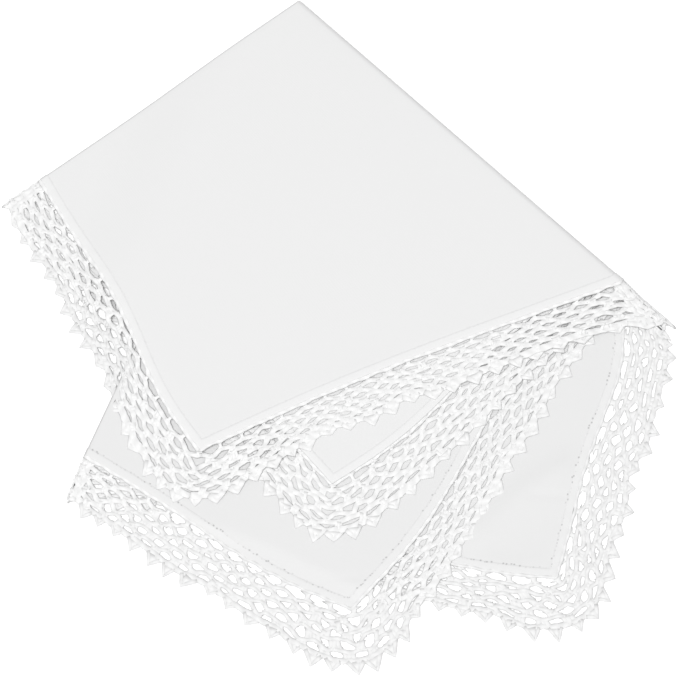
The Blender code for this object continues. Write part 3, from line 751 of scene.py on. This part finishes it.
def cotton_lawn():
    """Bleached cotton lawn, plain weave, pressed: matt, evenly white, a faint crossed grain."""
    material, tree = new_material("cotton_lawn_pressed")
    weave = add_node(tree, "ShaderNodeUVMap", {"uv_map": "weave"})
    hem = add_node(tree, "ShaderNodeUVMap", {"uv_map": "hem"})
    split = add_node(tree, "ShaderNodeSeparateXYZ", None, {0: hem.outputs[0]})
    # lawn has about 3 threads to the millimetre; one in 0.42 mm is drawn, so that it can show
    threads = [add_node(tree, "ShaderNodeTexWave", {"wave_type": "BANDS", "bands_direction": way},
                        {"Vector": weave.outputs[0], "Scale": 0.314 / (LAWN_THREAD * MM * 2),
                         "Distortion": 1.2, "Detail": 1.0, "Detail Scale": 1.5})
               for way in ("X", "Y")]
    crossed = add_node(tree, "ShaderNodeMath", {"operation": "ADD"},
                       {0: threads[0].outputs["Fac"], 1: threads[1].outputs["Fac"]})
    # the hem is three cloths thick, so less grey shows through it
    in_hem = add_node(tree, "ShaderNodeMapRange", {"interpolation_type": "SMOOTHSTEP"},
                      {"Value": split.outputs["Y"], "From Min": (HEM_WIDTH - 0.2) * MM,
                       "From Max": (HEM_WIDTH + 0.15) * MM, "To Min": 1.0, "To Max": 0.0})
    # pin holes of the hem stitch, one every 1.4 mm along its inner edge, closed up in places
    dots = add_node(tree, "ShaderNodeVectorMath", {"operation": "MULTIPLY"},
                    {0: hem.outputs[0], 1: (1 / (PIN_STEP * MM), 1 / (PIN_STEP * MM), 0)})
    shifted = add_node(tree, "ShaderNodeVectorMath", {"operation": "ADD"},
                       {0: dots.outputs[0], 1: (0, 0.5 - PIN_LINE / PIN_STEP, 0)})
    pins = add_node(tree, "ShaderNodeTexVoronoi", {"voronoi_dimensions": "2D"},
                    {"Vector": shifted.outputs[0], "Scale": 1.0, "Randomness": 0.75})
    patches = add_node(tree, "ShaderNodeTexNoise", {"noise_dimensions": "2D"},
                       {"Vector": hem.outputs[0], "Scale": 1 / (9 * MM), "Detail": 1.0})
    open_part = add_node(tree, "ShaderNodeMapRange", None,
                         {"Value": patches.outputs["Fac"], "From Min": 0.36, "From Max": 0.56})
    near = add_node(tree, "ShaderNodeMath", {"operation": "COMPARE"},
                    {0: split.outputs["Y"], 1: PIN_LINE * MM, 2: 0.45 * MM})
    hole = add_node(tree, "ShaderNodeMapRange", None,
                    {"Value": pins.outputs["Distance"], "From Min": 0.12, "From Max": 0.3,
                     "To Min": 1.0, "To Max": 0.0})
    stitched = add_node(tree, "ShaderNodeMath", {"operation": "MULTIPLY"},
                        {0: hole.outputs[0], 1: near.outputs[0]})
    folds = add_node(tree, "ShaderNodeSeparateXYZ", None, {
        0: add_node(tree, "ShaderNodeUVMap", {"uv_map": "fold"}).outputs[0]})
    # in the photo the stitch holes hardly show on the two upper layers
    shows = add_node(tree, "ShaderNodeMapRange", None, {"Value": folds.outputs["Y"], "To Min": 0.12})
    opened = add_node(tree, "ShaderNodeMath", {"operation": "MULTIPLY"},
                      {0: shows.outputs[0], 1: open_part.outputs[0]})
    pin = add_node(tree, "ShaderNodeMath", {"operation": "MULTIPLY"},
                   {0: stitched.outputs[0], 1: opened.outputs[0]})
    plain = add_node(tree, "ShaderNodeMix", {"data_type": "RGBA"},
                     {"Factor": in_hem.outputs[0], "A": hex_colour("E5E5E5"), "B": hex_colour("E8E8E8")})
    # painted shade: the two lower layers, which lie in the shade of the upper ones, are coloured a little
    # greyer
    shaded = add_node(tree, "ShaderNodeMix", {"data_type": "RGBA", "blend_type": "MULTIPLY"},
                      {"Factor": folds.outputs["Y"], "A": plain.outputs["Result"],
                       "B": hex_colour("FCFCFC")})
    colour = add_node(tree, "ShaderNodeMix", {"data_type": "RGBA"},
                      {"Factor": pin.outputs[0], "A": shaded.outputs["Result"], "B": hex_colour("BEBEBE")})
    # the cloth turns away from the light round the first fold: a thin grey line at its edge
    shade = add_node(tree, "ShaderNodeMapRange", {"interpolation_type": "SMOOTHSTEP"},
                     {"Value": folds.outputs["X"], "From Min": 0.2, "From Max": 0.85})
    colour = add_node(tree, "ShaderNodeMix", {"data_type": "RGBA"},
                      {"Factor": shade.outputs[0], "A": colour.outputs["Result"], "B": hex_colour("CACACA")})
    bump = add_node(tree, "ShaderNodeBump", None,
                    {"Strength": 0.05, "Distance": 0.06 * MM, "Height": crossed.outputs[0]})
    shader = add_node(tree, "ShaderNodeBsdfPrincipled", None,
                      {"Base Color": colour.outputs["Result"], "Roughness": 0.88, "IOR": 1.45,
                       "Specular IOR Level": 0.2, "Sheen Weight": 0.08, "Sheen Roughness": 0.5,
                       "Normal": bump.outputs[0]})
    through = add_node(tree, "ShaderNodeBsdfTranslucent", None,
                       {"Color": colour.outputs["Result"], "Normal": bump.outputs[0]})
    cloth = add_node(tree, "ShaderNodeMixShader", None,
                     {"Fac": 0.15, 1: shader.outputs[0], 2: through.outputs[0]})
    add_node(tree, "ShaderNodeOutputMaterial", None, {"Surface": cloth.outputs[0]})
    return material


def crochet_cotton():
    """Mercerised crochet cotton, two plies twisted, with painted shade in the grooves between the plies: a
    little brighter on its crowns than between.
    """
    material, tree = new_material("crochet_cotton_thread")
    thread = add_node(tree, "ShaderNodeUVMap", {"uv_map": "thread"})
    # the plies cross the thread once in 0.9 mm
    twist = add_node(tree, "ShaderNodeTexWave", {"wave_type": "BANDS", "bands_direction": "DIAGONAL"},
                     {"Vector": thread.outputs[0], "Scale": 0.314 / (0.9 * MM * 2), "Distortion": 0.6,
                      "Detail": 1.0})
    place = add_node(tree, "ShaderNodeTexCoord")
    fuzz = add_node(tree, "ShaderNodeTexNoise", None,
                    {"Vector": place.outputs["Object"], "Scale": 1 / (0.7 * MM), "Detail": 3.0})
    height = add_node(tree, "ShaderNodeMath", {"operation": "MULTIPLY_ADD"},
                      {0: fuzz.outputs["Fac"], 1: 0.8, 2: twist.outputs["Fac"]})
    # painted light: the threads that rest on another layer are coloured a little lighter than those clear of
    # it
    lies = add_node(tree, "ShaderNodeSeparateXYZ", None, {
        0: add_node(tree, "ShaderNodeUVMap", {"uv_map": "lies"}).outputs[0]})
    # painted shade: each pair of tones runs from darker between the plies to lighter on their crowns
    plies = [add_node(tree, "ShaderNodeMix", {"data_type": "RGBA"},
                      {"Factor": twist.outputs["Fac"], "A": hex_colour(low), "B": hex_colour(high)})
             for low, high in (("DCDCDC", "E4E4E4"), ("DFDFDF", "E9E9E9"))]
    tone = add_node(tree, "ShaderNodeMix", {"data_type": "RGBA"},
                    {"Factor": lies.outputs["X"], "A": plies[0].outputs["Result"],
                     "B": plies[1].outputs["Result"]})
    bump = add_node(tree, "ShaderNodeBump", None,
                    {"Strength": 0.5, "Distance": 0.12 * MM, "Height": height.outputs[0]})
    shader = add_node(tree, "ShaderNodeBsdfPrincipled", None,
                      {"Base Color": tone.outputs["Result"], "Roughness": 0.7, "IOR": 1.45,
                       "Specular IOR Level": 0.3, "Sheen Weight": 0.1, "Sheen Roughness": 0.4,
                       "Normal": bump.outputs[0]})
    through = add_node(tree, "ShaderNodeBsdfTranslucent", None,
                       {"Color": tone.outputs["Result"], "Normal": bump.outputs[0]})
    yarn = add_node(tree, "ShaderNodeMixShader", None,
                    {"Fac": 0.06, 1: shader.outputs[0], 2: through.outputs[0]})
    add_node(tree, "ShaderNodeOutputMaterial", None, {"Surface": yarn.outputs[0]})
    return material


def studio_paper():
    material, tree = new_material("studio_paper_white")
    shader = add_node(tree, "ShaderNodeBsdfDiffuse", None, {"Color": (0.95, 0.95, 0.95, 1), "Roughness": 0.0})
    add_node(tree, "ShaderNodeOutputMaterial", None, {"Surface": shader.outputs[0]})
    return material


# --- studio ---
CAMERA_HEIGHT_ANGLE = math.radians(70.0)
LENS = 200.0
SENSOR = 36.0
MM_PER_PIXEL = 0.316
FRAME_PIXELS = 679


def add_camera():
    distance = MM_PER_PIXEL * LENS / SENSOR * FRAME_PIXELS * MM
    data = bpy.data.cameras.new("photo_view")
    data.lens, data.sensor_width = LENS, SENSOR
    data.clip_start, data.clip_end = 0.05, 20.0
    camera = bpy.data.objects.new("photo_view", data)
    camera.location = (0, -distance * math.cos(CAMERA_HEIGHT_ANGLE), distance * math.sin(CAMERA_HEIGHT_ANGLE))
    camera.rotation_euler = (math.pi / 2 - CAMERA_HEIGHT_ANGLE, 0, 0)
    bpy.context.scene.collection.objects.link(camera)
    bpy.context.scene.camera = camera


def add_area_light(name, place, size, power):
    data = bpy.data.lights.new(name, "AREA")
    data.shape, data.size, data.energy = "DISK", size, power
    light = bpy.data.objects.new(name, data)
    light.location = place
    light.rotation_euler = (-Vector(place)).to_track_quat("-Z", "Y").to_euler()
    bpy.context.scene.collection.objects.link(light)


def add_studio():
    bpy.ops.mesh.primitive_plane_add(size=6.0, location=(0, 0, -0.0003))
    floor = bpy.context.object
    floor.name = "studio_floor"
    floor.data.materials.append(studio_paper())
    world = bpy.data.worlds.new("studio")
    bpy.context.scene.world = world
    world.use_nodes = True
    background = world.node_tree.nodes["Background"]
    background.inputs["Color"].default_value = (1, 1, 1, 1)
    background.inputs["Strength"].default_value = 0.42
    add_area_light("softbox_over_the_camera", (-0.35, -1.35, 4.6), 1.8, 212.0)
    bpy.context.scene.view_settings.view_transform = "Standard"


add_camera()
add_studio()
cotton = make_piece("cotton_cloth", *cotton_mesh(), cotton_lawn())
round_threads, post_threads, picot_threads = Threads(), Threads(), Threads()
rounds = [Round(number) for number in range(len(ROUNDS))]
for line in rounds:
    add_round(round_threads, line)
for row, (inner, outer) in enumerate(zip(rounds, rounds[1:])):
    add_posts(post_threads, row, inner, outer)
add_fold_threads(post_threads)
add_picots(picot_threads)
crochet = crochet_cotton()
lace = [threads.piece(name, crochet) for name, threads in (
    ("lace_rounds", round_threads), ("lace_posts", post_threads), ("lace_picots", picot_threads))]
for piece, node in ((cotton, "cotton_square"), *((piece, "lace_edging") for piece in lace)):
    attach(piece, "root")
    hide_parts(node)

print("triangles", {piece.name: sum(len(f.vertices) - 2 for f in piece.data.polygons)
                    for piece in (cotton, *lace)})
